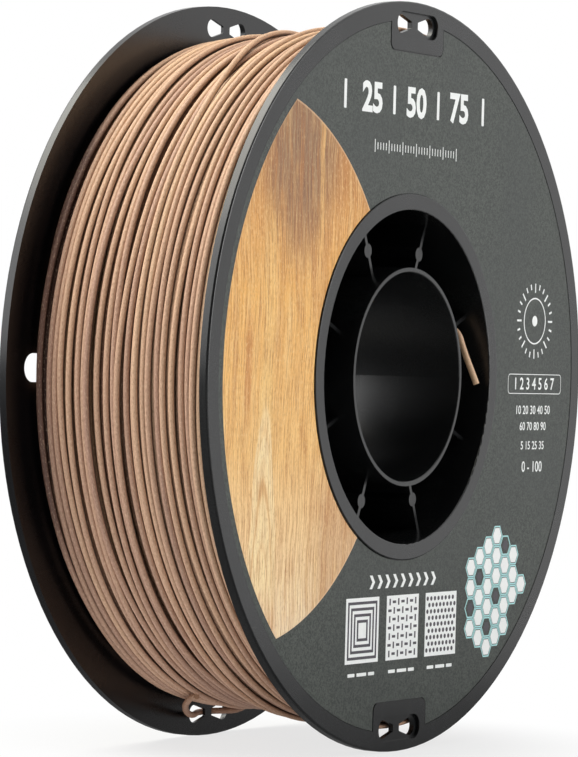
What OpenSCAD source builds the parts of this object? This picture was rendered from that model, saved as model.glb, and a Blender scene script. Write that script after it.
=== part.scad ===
// Filament spool: two moulded halves that snap together at mid-width, a printed label in the
// front flange, and a wound load of filament whose loose end is threaded through the rear clip.
// The spool axis is Y, the label faces -Y, +Z is up and the origin is the centre of the bore.

/* [Flanges] */
// Outer diameter of both flanges
flange_d = 200; // [190:1:240]
// Clear width between the inner faces of the flanges
flange_gap = 58.1; // [46:0.1:80]
// Thickness of a flange at its rim
flange_t = 2.4; // [2.2:0.1:4]
// Radius of the rounded outer corner of the rim
rim_round = 0.6; // [0.4:0.1:1.8]
// Width of the rim outside the label recess
rim_band = 5.1; // [3:0.1:5.5]
// Depth of the label recess below the rim's face
recess_depth = 0.4; // [0.3:0.1:0.8]

/* [Core and hub] */
// Outer diameter of the core that the filament is wound on
core_d = 94; // [84:1:120]
// Wall of the core tube
core_wall = 2.4; // [2:0.1:3.5]
// Radial width of the raised bead round the hub pocket
bead_w = 4.3; // [3:0.1:8]
// Height of the bead above the rim's face
bead_h = 0.4; // [0.2:0.1:1]
// Radius of the bead's rounded edges
bead_round = 0.3; // [0.2:0.1:0.8]
// Diameter of the spindle bore
bore_d = 56; // [46:1:68]
// Wall of the hub tube round the bore
hub_wall = 1.2; // [1.1:0.1:3]
// Chamfer at the mouth of the bore
bore_chamfer = 0.2; // [0.1:0.1:0.5]
// Thickness of the web that closes each half at mid-width
web_t = 1.6; // [1.2:0.1:3]

/* [Ribs] */
// Number of ribs between the hub tube and the core tube
rib_count = 8; // [8]
// Thickness of a rib
rib_t = 1.1; // [0.9:0.1:2]
// Distance of a rib's outer edge below the rim's face
rib_inset = 5.6; // [3:0.1:12]
// Diameter of the round ejector pads on the ribs next to the clips
pad_d = 3.8; // [3:0.1:5]
// Distance of a pad's centre from the hub tube
pad_offset = 6.7; // [4:0.1:8]

/* [Joint between the halves] */
// Length of the lip that laps the other half's core tube
lap_len = 4; // [2:0.1:8]
// Thickness of the lip
lap_t = 1.05; // [0.8:0.05:1.2]
// Clearance round the lip and the hooks
joint_gap = 0.15; // [0.1:0.05:0.3]
// Width of a snap hook
hook_w = 8; // [5:0.5:12]
// Thickness of a snap hook's stem
hook_t = 1.6; // [1.2:0.1:2]
// Reach of a snap hook's barb over the other web
hook_lip = 0.9; // [0.5:0.1:1.2]
// Length of a snap hook's barb
barb_len = 3; // [2:0.1:5]

/* [Clips] */
// Distance of a clip's centre line from the rim
clip_inset = 6.2; // [5.5:0.1:8]
// Length of the clip's recess
clip_l = 22; // [21:0.5:26]
// Height of the clip's recess
clip_h = 6.6; // [5.6:0.1:8]
// Depth of a front clip's recess below the rim's face
front_clip_depth = 1; // [0.6:0.1:1.8]
// Depth of a rear clip's recess, which takes the filament where it runs behind the bridge
rear_clip_depth = 1.6; // [1.5:0.1:1.8]
// Width of the bridge between a clip's two holes
bridge_w = 3.2; // [2:0.1:4]
// Length of a clip hole, from its tip by the bridge to its wide end
hole_l = 8.1; // [6:0.1:8.5]
// Height of a clip hole's wide end
hole_h = 4.9; // [4:0.1:5.2]
// Height of a clip hole's blunt tip
tip_h = 2.1; // [1.2:0.1:3]
// Width of the raised land that carries a clip inside the label recess
land_w = 28; // [26:0.5:40]
// Distance from the clip's centre line to the land's inner edge
land_reach = 7.2; // [5:0.1:12]
// Corner radius of the land
land_round = 2; // [1:0.1:4]

/* [Viewing slots] */
// Width of the two radial slots in the rear flange
slot_w = 7.4; // [4:0.1:12]
// Distance of a slot's outer end from the rim
slot_inset = 8; // [6:0.5:15]
// Distance of a slot's inner end from the core
slot_offset = 12; // [6:0.5:20]

/* [Label] */
// Thickness of the label
label_t = 0.3; // [0.1:0.05:0.3]
// Gap between the label and the rim
label_rim_gap = 0.15; // [0.1:0.05:3]
// Gap between the label and the bead
label_bead_gap = 0.15; // [0.1:0.05:1]
// Gap between the label and the clip lands
label_land_gap = 0.3; // [0.1:0.05:1]

/* [Filament] */
// Diameter of the filament
strand_d = 1.75; // [1.4:0.05:2.1]
// Outer diameter of the wound filament
wound_d = 182; // [140:1:183]
// Gap between the wound filament and the plastic that it lies against
wound_gap = 0.3; // [0.2:0.05:0.6]
// Most turns in the outer layer
most_turns = 24; // [12:1:24]
// Angle at which the outer layer ends and the loose end begins, from +X towards +Z
wound_end = -30; // [-40:1:-20]
// Diameter of the hole in the core that the first end comes through
start_hole_d = 4; // [3:0.1:6]
// Angle of that hole, from +X towards +Z
start_hole_angle = 8; // [0:1:14]
// Distance of that hole from mid-width
start_hole_y = 10; // [8:0.5:14]

/* [Hidden] */
$fn = 96;
over = 1;                                 // how far a cut runs past the face that it opens
sink = 0.6;                               // how far a rib runs into the tube walls
flange_r = flange_d / 2;
core_r = core_d / 2;
pocket_r = core_r - core_wall;
bead_r = pocket_r + bead_w;
bore_r = bore_d / 2;
hub_r = bore_r + hub_wall;
recess_r = flange_r - rim_band;
clip_r = flange_r - clip_inset;
inner_face = flange_gap / 2;
rim_face = inner_face + flange_t;
recess_floor = rim_face - recess_depth;
bead_face = rim_face + bead_h;
rib_face = rim_face - rib_inset;
rib_step = 360 / rib_count;
hook_r = (hub_r + pocket_r) / 2;
hook_angles = [45, 135, 225, 315];
tip_round = 0.4;                          // corner radius of a clip hole's tip
strand_r = strand_d / 2;
wound_half = inner_face - wound_gap;      // half the width of the wound filament

// Outer layer: the centre line's radius, its reach along Y and the turns that keep clear of each other
layer_rings = 24;
layer_sides = 6;
turn_gap = 0.45;
layer_r = wound_d / 2 - strand_r;
layer_y = wound_half - strand_r;
turns = min(most_turns, floor(2 * layer_y / (strand_d + turn_gap)));
core_load_r = layer_r * cos(180 / layer_rings) - strand_r - wound_gap;
touch = 0.02;                             // gap where one length of filament follows another
mouth_gap = 0.1;                          // gap between the first end and the load that it comes out of
start_bend = 1.2;                         // bend radius where the outer layer rises out of the load
rise_rings = 4;                           // rings over which that rise settles on to the layer

// Loose end: along the rear flange, out through one clip hole, behind the bridge and back in
loose_route = [
    [72.0, 27.9, -54.3], [64.9, 27.9, -62.7], [56.9, 27.9, -70.3], [48.2, 27.9, -77.2],
    [38.9, 27.9, -83.4], [30.3, 27.9, -87.9], [22.7, 27.9, -91.2], [17.0, 27.8, -93.0],
    [13.4, 27.6, -93.6], [11.0, 27.6, -93.8], [8.8, 28.05, -93.8], [6.7, 29.0, -93.8],
    [4.6, 30.0, -93.8], [2.4, 30.75, -93.8], [0.0, 30.95, -93.8], [-2.4, 30.75, -93.8],
    [-4.6, 30.0, -93.8], [-6.7, 29.0, -93.8], [-8.8, 28.05, -93.8], [-11.3, 27.2, -93.7],
    [-13.9, 26.5, -93.2], [-16.5, 25.4, -92.5], [-19.4, 24.0, -91.6], [-22.4, 22.2, -90.7],
    [-25.3, 20.3, -89.6], [-27.8, 18.2, -88.6], [-29.9, 16.1, -87.5], [-31.5, 14.1, -86.7],
    [-32.6, 12.2, -86.3]
];

// First end: in through the hole in the core and forward along the hub pocket to its cut
start_route = [
    [43.6, -10.0, 6.1], [41.2, -10.2, 5.9], [38.8, -11.2, 6.4], [37.0, -13.0, 7.8],
    [36.2, -15.6, 9.8], [36.4, -18.6, 11.7], [37.2, -21.4, 13.0], [37.9, -23.6, 13.3],
    [38.3, -25.2, 12.0], [38.6, -26.2, 9.3], [39.1, -27.4, 5.7], [40.1, -28.6, 2.0],
    [40.9, -29.8, -1.6]
];

// ---- shapes that several pieces share ----

// A plate in the (radius, height) plane with its upper outer corner rounded
module plate_profile(r0, r1, z0, z1, corner) {
    translate([r0, z0]) square([r1 - r0, z1 - z0 - corner]);
    translate([r0, z0]) square([r1 - r0 - corner, z1 - z0]);
    translate([r1 - corner, z1 - corner]) circle(corner);
}

// The bead in the (radius, height) plane with both upper corners rounded
module bead_profile() {
    translate([pocket_r, inner_face]) square([bead_w, bead_face - inner_face - bead_round]);
    translate([pocket_r + bead_round, inner_face]) square([bead_w - 2 * bead_round, bead_face - inner_face]);
    for (r = [pocket_r + bead_round, bead_r - bead_round])
        translate([r, bead_face - bead_round]) circle(bead_round);
}

// A flat slot with round ends
module stadium(l, h) {
    square([l - h, h], center = true);
    for (side = [-1, 1]) translate([side * (l - h) / 2, 0]) circle(h / 2);
}

// The land round a clip: a strip from the rim inwards with its two inner corners rounded
module clip_land(grow) {
    w = land_w + 2 * grow;
    reach = land_reach + grow;
    round_r = land_round + grow;
    translate([-w / 2, round_r - reach]) square([w, reach - round_r + clip_inset + over]);
    translate([round_r - w / 2, -reach]) square([w - 2 * round_r, reach]);
    for (side = [-1, 1]) translate([side * (w / 2 - round_r), round_r - reach]) circle(round_r);
}

// The ring that the label lies in, cut out round the two clip lands
module label_outline(rim_gap, bead_gap, land_gap) {
    difference() {
        circle(recess_r - rim_gap, $fn = 180);
        circle(bead_r + bead_gap, $fn = 180);
        for (turn = [0, 180]) rotate(turn) translate([0, clip_r]) clip_land(land_gap);
    }
}

// One hole of a clip: round at its wide end, and narrowing to a blunt tip at the bridge
module clip_hole() {
    hull() {
        translate([bridge_w / 2 + hole_l - hole_h / 2, 0]) circle(hole_h / 2, $fn = 32);
        for (side = [-1, 1])
            translate([bridge_w / 2 + tip_round, side * (tip_h / 2 - tip_round)]) circle(tip_round, $fn = 24);
    }
}

// Puts a half that is drawn with its height outwards on to the front or the rear of the spool
module on_front() { rotate([90, 0, 0]) children(); }
module on_rear() { mirror([0, 1, 0]) rotate([90, 0, 0]) children(); }

// ---- the moulding, drawn with its height measured outwards from mid-width ----

module tubes_and_flange() {
    rotate_extrude($fn = 180) {
        difference() {
            union() {
                plate_profile(pocket_r, flange_r, inner_face, rim_face, rim_round);
                bead_profile();
                translate([pocket_r, 0]) square([core_wall, rim_face]);
                translate([hub_r - hub_wall, 0]) square([hub_wall, rim_face]);
                translate([hub_r, 0]) square([pocket_r - hub_r, web_t]);
            }
            polygon([[bore_r - over, rim_face - bore_chamfer - over], [bore_r - over, rim_face + over],
                     [bore_r + bore_chamfer + over, rim_face + over]]);
        }
    }
}

module ribs_and_pads() {
    for (i = [0 : rib_count - 1]) {
        angle = (i + 0.5) * rib_step;
        rotate(angle) translate([hub_r - sink, -rib_t / 2, 0])
            cube([pocket_r - hub_r + 2 * sink, rib_t, rib_face]);
        if (abs(sin(angle)) > abs(cos(angle)))
            rotate(angle) translate([hub_r + pad_offset, 0, 0]) cylinder(d = pad_d, h = rib_face, $fn = 32);
    }
}

module clip_cuts(depth) {
    for (turn = [0, 180]) rotate(turn) translate([0, clip_r, 0]) {
        translate([0, 0, rim_face - depth]) linear_extrude(depth + over) stadium(clip_l, clip_h);
        translate([0, 0, inner_face - over]) linear_extrude(flange_t + 2 * over)
            for (flip = [0, 1]) mirror([flip, 0]) clip_hole();
    }
}

module moulding(clip_depth) {
    difference() {
        union() {
            tubes_and_flange();
            ribs_and_pads();
        }
        translate([0, 0, recess_floor]) linear_extrude(recess_depth + over) label_outline(0, 0, 0);
        clip_cuts(clip_depth);
    }
}

// Snap hook: a stem through the other half's web with a barb that catches on its far face
module hook() {
    catch = -web_t - joint_gap;
    rotate([90, 0, 0]) translate([0, 0, -hook_w / 2]) linear_extrude(hook_w)
        polygon([[-hook_t / 2, web_t / 2], [-hook_t / 2, catch - barb_len], [0, catch - barb_len],
                 [hook_t / 2 + hook_lip, catch - hook_lip], [hook_t / 2 + hook_lip, catch],
                 [hook_t / 2, catch], [hook_t / 2, web_t / 2]]);
}

// Window in the web that a hook snaps through, with room on its inner side for the stem to flex
module hook_window() {
    inward = hook_t / 2 + hook_lip + joint_gap;
    translate([-inward, -hook_w / 2 - joint_gap, -over])
        cube([inward + hook_t / 2 + joint_gap, hook_w + 2 * joint_gap, web_t + 2 * over]);
}

// ---- the pieces ----

module front_half() {
    color("#4a4d4c") on_front() {
        difference() {
            moulding(front_clip_depth);
            rotate(start_hole_angle) translate([pocket_r - over, 0, start_hole_y]) rotate([0, 90, 0])
                cylinder(d = start_hole_d, h = core_wall + 2 * over, $fn = 48);
        }
        rotate_extrude($fn = 180) translate([core_r - lap_t, -lap_len]) square([lap_t, lap_len + web_t]);
        for (angle = hook_angles) rotate(angle) translate([hook_r, 0, 0]) hook();
    }
}

module rear_half() {
    slot_out = flange_r - slot_inset;
    slot_in = core_r + slot_offset;
    color("#3c3e3e") on_rear() difference() {
        moulding(rear_clip_depth);
        rotate_extrude($fn = 180) translate([core_r - lap_t - joint_gap, -over])
            square([lap_t + joint_gap + over, lap_len + joint_gap + over]);
        for (angle = hook_angles) rotate(angle) translate([hook_r, 0, 0]) hook_window();
        for (side = [-1, 1]) translate([side * (slot_out + slot_in) / 2, 0, inner_face - over])
            linear_extrude(flange_t + 2 * over) stadium(slot_out - slot_in, slot_w);
    }
}

module front_label() {
    color("#5a5f5b") on_front() translate([0, 0, recess_floor])
        linear_extrude(label_t) label_outline(label_rim_gap, label_bead_gap, label_land_gap);
}

module filament_core() {
    color("#a5876f") on_front() rotate_extrude($fn = 180)
        translate([core_r + wound_gap, -wound_half])
            square([core_load_r - core_r - wound_gap, 2 * wound_half]);
}

// ---- filament: one tube swept along a list of points ----

function unit(v) = v / norm(v);
function drum_point(angle, r, y) = [r * cos(angle), y, r * sin(angle)];

// Direction of the path at each of its points
function tangents(path) = let (last = len(path) - 1)
    [for (i = [0 : last]) unit(path[min(i + 1, last)] - path[max(i - 1, 0)])];

// A normal at each point that turns as little as it can from one point to the next
function normals(t, first) =
    [for (i = 0, n = unit(first - (first * t[0]) * t[0]); i < len(t);
          i = i + 1, n = i < len(t) ? unit(n - (n * t[i]) * t[i]) : n) n];

// The rings of a tube, each a list of points
function tube_rings(path, r, sides, first) =
    let (t = tangents(path), n = normals(t, first))
    [for (i = [0 : len(path) - 1]) [for (k = [0 : sides - 1])
        path[i] + r * (cos(360 * k / sides) * n[i] + sin(360 * k / sides) * cross(t[i], n[i]))]];

module tube(rings) {
    sides = len(rings[0]);
    last = (len(rings) - 1) * sides;
    points = [for (ring = rings) each ring];
    walls = [for (i = [0 : len(rings) - 2]) for (k = [0 : sides - 1])
        let (a = i * sides + k, b = i * sides + (k + 1) % sides)
        each [[a, a + sides, b + sides], [a, b + sides, b]]];
    caps = [for (k = [1 : sides - 2]) each [[0, k, k + 1], [last, last + k + 1, last + k]]];
    polyhedron(points, concat(walls, caps));
}

// Way along the drum in which the filament runs at an angle
function run_dir(angle) = [sin(angle), 0, -cos(angle)];

// Outer layer: up out of the load, round the drum for every turn, and straight for one diameter
layer_steps = turns * layer_rings;
layer_first = wound_end + 360 * turns;
rise_r = core_load_r + touch + strand_d;
rise_top = rise_r + start_bend - layer_r;
layer_path = concat(
    [drum_point(wound_end, core_load_r + touch, -layer_y)],
    [for (bend = [0 : 30 : 90]) drum_point(wound_end, rise_r + start_bend * sin(bend), -layer_y)
        + start_bend * (1 - cos(bend)) * run_dir(wound_end)],
    [for (i = [1 : layer_steps]) drum_point(layer_first - i * 360 / layer_rings,
        layer_r + rise_top * max(0, 1 - i / rise_rings), (2 * i / layer_steps - 1) * layer_y)],
    [drum_point(wound_end, layer_r, layer_y) + strand_d * run_dir(wound_end)]
);

// Smallest distance between points of rings one turn apart
function least_gap(rings) = min([for (i = [0 : len(rings) - layer_rings + 1])
    for (j = [i + layer_rings - 2 : min(i + layer_rings + 2, len(rings) - 1)])
        for (p = rings[i]) for (q = rings[j]) norm(p - q)]);

module filament_outer_layer() {
    rings = tube_rings(layer_path, strand_r, layer_sides, [0, 1, 0]);
    echo(str("turns ", turns, ", least gap between turns ", least_gap(rings), " mm"));
    color("#b8957a") tube(rings);
}

// Loose end: follows the outer layer's end straight for one diameter, then its own route
loose_start = drum_point(wound_end, layer_r, layer_y) + (strand_d + touch) * run_dir(wound_end);
loose_path = concat([loose_start, loose_start + strand_d * run_dir(wound_end)], loose_route);

module filament_loose_end() {
    color("#b8957a") tube(tube_rings(loose_path, strand_r, 8, [0, 1, 0]));
}

// First end: square off the load's inner face, then its own route
start_mouth = drum_point(start_hole_angle, core_r + wound_gap - mouth_gap, -start_hole_y);
start_path = concat([start_mouth, start_mouth - strand_d * unit([start_mouth[0], 0, start_mouth[2]])],
                    start_route);

module filament_start_end() {
    color("#c9a486") tube(tube_rings(start_path, strand_r, 8, [0, 0, 1]));
}

front_half();
rear_half();
front_label();
filament_core();
filament_outer_layer();
filament_loose_end();
filament_start_end();
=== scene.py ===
"""Looks of a filament spool: two dark mouldings, a printed ring label and a load of wood-filled filament.

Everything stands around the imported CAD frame. Geometry is worked out in millimetres in the frame's own
axes (the spool axis is Y, the label faces -Y, +Z is up) and scaled to metres when a mesh is made.
"""
import math

import bmesh
import bpy
import numpy as np
from mathutils import Matrix, Vector


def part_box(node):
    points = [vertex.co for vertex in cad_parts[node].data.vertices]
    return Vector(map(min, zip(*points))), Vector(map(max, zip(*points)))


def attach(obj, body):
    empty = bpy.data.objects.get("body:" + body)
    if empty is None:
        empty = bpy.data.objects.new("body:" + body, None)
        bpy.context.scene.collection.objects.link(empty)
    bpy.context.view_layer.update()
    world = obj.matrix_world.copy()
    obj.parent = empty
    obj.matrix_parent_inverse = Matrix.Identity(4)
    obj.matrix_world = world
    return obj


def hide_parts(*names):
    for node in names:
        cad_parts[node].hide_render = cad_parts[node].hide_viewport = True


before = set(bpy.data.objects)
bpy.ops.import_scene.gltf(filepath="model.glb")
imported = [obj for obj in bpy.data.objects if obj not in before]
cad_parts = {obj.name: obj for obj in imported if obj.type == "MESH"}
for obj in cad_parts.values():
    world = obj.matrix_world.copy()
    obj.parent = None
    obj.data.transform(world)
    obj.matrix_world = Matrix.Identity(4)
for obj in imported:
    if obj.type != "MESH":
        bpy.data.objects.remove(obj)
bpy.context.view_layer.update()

MM = 0.001
BODY = "root"


def corners_mm(node):
    """Lowest and highest corner of a CAD node in millimetres."""
    low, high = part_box(node)
    return np.array(low) / MM, np.array(high) / MM


# ---- sizes, from the frame and from the real object ----

FLOOR_Z = corners_mm("front_half")[0][2]
LABEL_LOW, LABEL_HIGH = corners_mm("front_label")
LABEL_FACE = LABEL_LOW[1]
LABEL_R = LABEL_HIGH[0]
LOAD_HALF = corners_mm("filament_core")[1][1]      # half of the load's width
LOAD_R = corners_mm("filament_outer_layer")[1][0]  # outer radius of the load

LOAD_LOW_R = 47.3              # inner radius of the load, just clear of the core tube
STRAND = 1.75                  # diameter of the strand
STRAND_R = STRAND / 2
STRAND_ROUND = 5.5             # the way round it
EDGE_Y = LOAD_HALF - STRAND_R  # middle of a strand that lies against a flange

# ---- small tools for meshes ----


def turned(points, degrees):
    """Points in a plane turned about its origin, counter-clockwise."""
    angle = math.radians(degrees)
    spin = np.array([[math.cos(angle), math.sin(angle)], [-math.sin(angle), math.cos(angle)]])
    return np.asarray(points, float) @ spin


def clipped(values):
    """Values held between 0 and 1."""
    return np.clip(values, 0.0, 1.0)


def unit(vectors):
    """Vectors at length one."""
    return vectors / np.linalg.norm(vectors, axis=1, keepdims=True)


def grid_faces(rows, columns, closed):
    """Quads of a grid of points numbered row by row; closed joins each row's last point to its first."""
    steps = columns if closed else columns - 1
    row, column = np.meshgrid(np.arange(rows - 1), np.arange(steps), indexing="ij")
    after = (column + 1) % columns
    quads = np.stack([row * columns + column, row * columns + after,
                      (row + 1) * columns + after, (row + 1) * columns + column], -1)
    return quads.reshape(-1, 4)


def blurred(values, width):
    """Values along a line averaged with a bell curve that is width points wide."""
    reach = max(1, int(3 * width))
    bell = np.exp(-0.5 * (np.arange(-reach, reach + 1) / width) ** 2)
    padded = np.concatenate([np.full(reach, values[0]), values, np.full(reach, values[-1])])
    return np.convolve(padded, bell / bell.sum(), mode="valid")


def wander(count, width, seed):
    """Smooth random values with a spread of one: white noise, blurred and scaled."""
    noise = blurred(np.random.default_rng(seed).standard_normal(count), width)
    return (noise - noise.mean()) / noise.std()


def add_piece(name, points, faces, material, smooth=True, flat_faces=0):
    """A mesh piece that rides on the spool: points in millimetres, faces as index lists.

    The last flat_faces faces stay flat, and the rest are smooth when smooth is set."""
    corners = np.asarray(points, float).reshape(-1, 3) * MM
    mesh = bpy.data.meshes.new(name)
    mesh.from_pydata(corners.tolist(), [], [list(face) for face in faces])
    rounded = np.full(len(faces), smooth)
    if flat_faces:
        rounded[-flat_faces:] = False
    mesh.polygons.foreach_set("use_smooth", rounded)
    mesh.materials.append(material)
    mesh.update()
    piece = bpy.data.objects.new(name, mesh)
    bpy.context.scene.collection.objects.link(piece)
    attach(piece, BODY)
    return piece


def set_attribute(piece, name, values):
    """Gives a piece one number at each of its points, for its material to read."""
    attribute = piece.data.attributes.new(name, "FLOAT", "POINT")
    attribute.data.foreach_set("value", values.ravel().astype(np.float32))


def recalculate(piece):
    """Merges points that lie on each other and turns a closed piece's faces outwards."""
    shell = bmesh.new()
    shell.from_mesh(piece.data)
    bmesh.ops.remove_doubles(shell, verts=shell.verts, dist=0.002 * MM)
    bmesh.ops.recalc_face_normals(shell, faces=shell.faces)
    shell.to_mesh(piece.data)
    shell.free()


# ---- materials: node trees written as expressions ----


class Wire:
    """A socket in a node tree. Arithmetic on it adds Math nodes."""

    def __init__(self, bench, socket):
        self.bench = bench
        self.socket = socket

    def math(self, operation, *values):
        return self.bench.node("Math", {"operation": operation}, dict(enumerate(values)))

    def __add__(self, other):
        return self.math("ADD", self, other)

    def __sub__(self, other):
        return self.math("SUBTRACT", self, other)

    def __rsub__(self, other):
        return self.math("SUBTRACT", other, self)

    def __mul__(self, other):
        return self.math("MULTIPLY", self, other)

    def __pow__(self, power):
        return self.math("POWER", self, power)

    def __abs__(self):
        return self.math("ABSOLUTE", self)

    __radd__ = __add__
    __rmul__ = __mul__

    def rise(self, low, high):
        """0 below low, 1 above high and a smooth step between them. low may be above high."""
        return self.bench.node("MapRange", {"interpolation_type": "SMOOTHSTEP"},
                               {"Value": self, "From Min": low, "From Max": high})


class Bench:
    """Builds the node tree of a material or a world."""

    def __init__(self, holder):
        self.holder = holder
        holder.use_nodes = True
        self.tree = holder.node_tree
        self.tree.nodes.clear()

    def node(self, kind, settings=None, inputs=None, out=0):
        """Adds a node with its settings and its sockets' values or wires. Returns the wire of one output."""
        made = self.tree.nodes.new("ShaderNode" + kind)
        for key, value in (settings or {}).items():
            if key == "stops":
                set_stops(made.color_ramp, value)
            else:
                setattr(made, key, value)
        for key, value in (inputs or {}).items():
            if isinstance(value, Wire):
                self.tree.links.new(value.socket, made.inputs[key])
            else:
                made.inputs[key].default_value = value
        return Wire(self, made.outputs[out]) if made.outputs else None

    def place(self, scale=(1.0, 1.0, 1.0), turn=(0.0, 0.0, 0.0), uv=False):
        """Object coordinates in millimetres, or the piece's own UV map, scaled and turned."""
        spot = self.node("TexCoord", out=2 if uv else 3)
        stretch = 1.0 if uv else 1.0 / MM
        return self.node("Mapping", inputs={"Vector": spot, "Scale": [stretch * share for share in scale],
                                            "Rotation": [math.radians(angle) for angle in turn]})

    def noise(self, place, scale, detail=2.0, rough=0.5):
        return self.node("TexNoise", inputs={"Vector": place, "Scale": scale, "Detail": detail,
                                             "Roughness": rough})

    def mix(self, factor, first, second):
        return self.node("Mix", {"data_type": "RGBA"}, {0: factor, 6: first, 7: second}, out=2)

    def tinted(self, colour, *layers):
        """A colour with layers laid over it in turn, each as its share and its (red, green, blue)."""
        for share, levels in layers:
            colour = self.mix(share, colour, shade(*levels))
        return colour

    def split(self, vector):
        """The X, Y and Z of a vector as three numbers."""
        first = self.node("SeparateXYZ", inputs={0: vector})
        return [Wire(self, output) for output in first.socket.node.outputs]

    def join(self, x, y=0.0, z=0.0):
        return self.node("CombineXYZ", inputs={"X": x, "Y": y, "Z": z})

    def bump(self, height, strength, distance_mm):
        return self.node("Bump", inputs={"Height": height, "Strength": strength,
                                         "Distance": distance_mm * MM})

    def principled(self, **sockets):
        """Ends a material: base_color, for one, names the socket Base Color."""
        names = {key.replace("_", " ").title().replace("Ior", "IOR"): value
                 for key, value in sockets.items()}
        shader = self.node("BsdfPrincipled", inputs=names)
        self.node("OutputMaterial", inputs={"Surface": shader})
        return self.holder


def set_stops(ramp, stops):
    """Gives a colour ramp its (position, colour) stops."""
    while len(ramp.elements) < len(stops):
        ramp.elements.new(1.0)
    for element, (position, colour) in zip(ramp.elements, stops):
        element.position = position
        element.color = colour


def shade(red, green, blue):
    """A colour given as 0 to 255 display values, as linear light with full opacity."""
    levels = np.array([red, green, blue]) / 255.0
    linear = np.where(levels <= 0.04045, levels / 12.92, ((levels + 0.055) / 1.055) ** 2.4)
    return (*linear.tolist(), 1.0)


def new_material(name):
    return Bench(bpy.data.materials.new(name))


def moulded_plastic(name, gloss, scratches, dark, light):
    """Near-black polystyrene with a fine moulded texture, soft cloudy gloss and a few fine scratches."""
    bench = new_material(name)
    place = bench.place()
    cloud = bench.noise(place, 0.035, 3.0)
    grain = bench.noise(place, 2.2)
    fine = bench.noise(place, 7.0, 1.0)
    streak = bench.noise(bench.place(scale=(0.08, 1.0, 2.2), turn=(0, 34, 0)), 1.0, 3.0, 0.6)
    scratch = streak.rise(0.70, 0.74) * bench.noise(place, 0.09).rise(0.52, 0.62) * scratches
    colour = bench.tinted(bench.mix(cloud.rise(0.3, 0.7), dark, light), (scratch * 0.4, (96, 94, 92)))
    rough = gloss + (cloud - 0.5) * 0.10 + (fine - 0.5) * 0.06
    height = grain * 0.6 + fine * 0.4 - scratch * 0.5
    return bench.principled(base_color=colour, roughness=rough, ior=1.5,
                            normal=bench.bump(height, 0.30, 0.012))


def label_film():
    """Dark grey-green satin film with a faint printed mottle."""
    bench = new_material("label_film")
    place = bench.place()
    mottle = bench.noise(place, 1.8, 3.0, 0.65)
    cloud = bench.noise(place, 0.03)
    speck = bench.noise(place, 2.8, 1.0)
    colour = bench.mix(mottle.rise(0.38, 0.62), shade(29, 36, 31), shade(68, 73, 68))
    colour = bench.tinted(colour,
                          (speck.rise(0.56, 0.70) * 0.55, (90, 94, 90)),
                          (cloud.rise(0.35, 0.65) * 0.35, (48, 52, 51)))
    return bench.principled(base_color=colour, roughness=0.42 + mottle * 0.10, ior=1.45,
                            normal=bench.bump(mottle + speck * 0.3, 0.15, 0.01))


def ink(name, colour, faded):
    """Screen-printed ink: a flat colour that is slightly thinner in places, with an even satin finish."""
    bench = new_material(name)
    thin = bench.noise(bench.place(), 1.6, 3.0)
    tone = bench.mix(thin.rise(0.55, 0.8) * 0.5, colour, faded)
    return bench.principled(base_color=tone, roughness=0.40 + thin * 0.15, ior=1.45)


# the wood print: the part of a ring that lies in a circle, in millimetres from the bore's middle
WOOD_CENTRE = (-80.0, 2.0)  # the circle
WOOD_CUT_R = 70.7
WOOD_OUTER_R = 92.8         # the ring
WOOD_INNER_R = 49.08

# and places in its grain
HEART_X = -58.0   # the brown heart
HEART_Z = 62.0
FLAME_X = -72.0   # the pale flame, and the pale beam above it
STREAK_X = -81.0  # a reddish streak
STRIPE_X = -47.2  # a narrow pale stripe
VENEER = ((0.0, (252, 240, 216)), (0.16, (248, 220, 176)), (0.38, (242, 193, 120)), (0.62, (240, 182, 98)),
          (0.74, (226, 166, 92)), (0.82, (200, 142, 80)), (1.0, (166, 118, 76)))
VENEER_HEIGHT = 160.0  # height over which these colours run


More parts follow.
